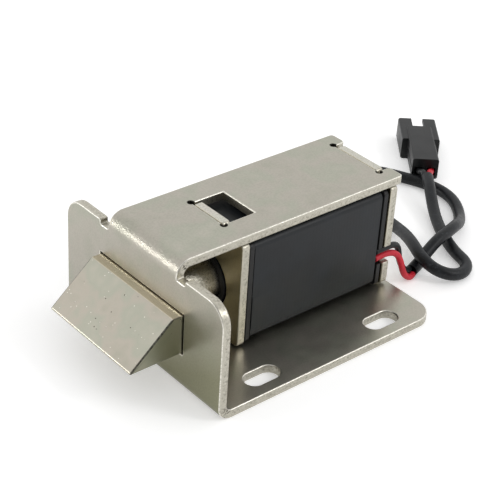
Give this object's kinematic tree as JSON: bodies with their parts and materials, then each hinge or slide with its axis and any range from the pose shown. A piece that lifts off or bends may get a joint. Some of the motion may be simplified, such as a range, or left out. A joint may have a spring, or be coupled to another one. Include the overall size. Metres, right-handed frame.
{
  "type": "electromagnetic lock",
  "caption": "Electromagnetic cabinet lock: folded steel frame with screw slots, a coil, a spring-returned wedge bolt, and a sleeved lead with a plug housing.",
  "frame": {"origin": "under the middle of the lock's length and width without its cord, on the underside of the base flange", "axes": "+X from the bolt's nose to the leads, +Z from the base flange to the top plate"},
  "size_m": [0.1364, 0.0672, 0.0297],
  "materials": {
    "plated_steel": "satin nickel plate",
    "bolt_steel": "satin nickel plate, finely pitted",
    "turned_steel": "turned and plated",
    "brass_washer": "rolled sheet",
    "spring_steel": "drawn wire",
    "black_nylon": "moulded",
    "copper_wire": "enamelled wire",
    "coil_film": "wound film with a low sheen",
    "red_vinyl": "extruded insulation",
    "black_vinyl": "extruded insulation",
    "sleeve_vinyl": "scuffed soft sleeve",
    "housing_nylon": "moulded",
    "tinned_contact": "tinned"
  },
  "bodies": {
    "frame": {"mounting_bracket": "plated_steel", "front_yoke_plate": "plated_steel", "rear_yoke_plate": "plated_steel", "bobbin": "black_nylon", "coil_winding": "copper_wire", "coil_wrap": "coil_film", "fixed_core": "turned_steel", "core_washer": "brass_washer", "return_spring": "spring_steel", "red_lead": "red_vinyl", "black_lead": "black_vinyl", "lead_sleeve": "sleeve_vinyl", "red_lead_tail": "red_vinyl", "black_lead_tail": "black_vinyl", "connector_housing": "housing_nylon", "red_contact": "tinned_contact", "black_contact": "tinned_contact"},
    "bolt": {"latch_bolt": "bolt_steel", "plunger": "turned_steel", "bolt_pin": "turned_steel"}
  },
  "joints": [
    {"name": "bolt_slide", "type": "slide", "parent": "frame", "child": "bolt", "axis": [1, 0, 0], "range_m": [0, 0.01], "stiffness_N_per_m": 400, "springref_m": -0.005, "deforming": ["return_spring"]}
  ]
}
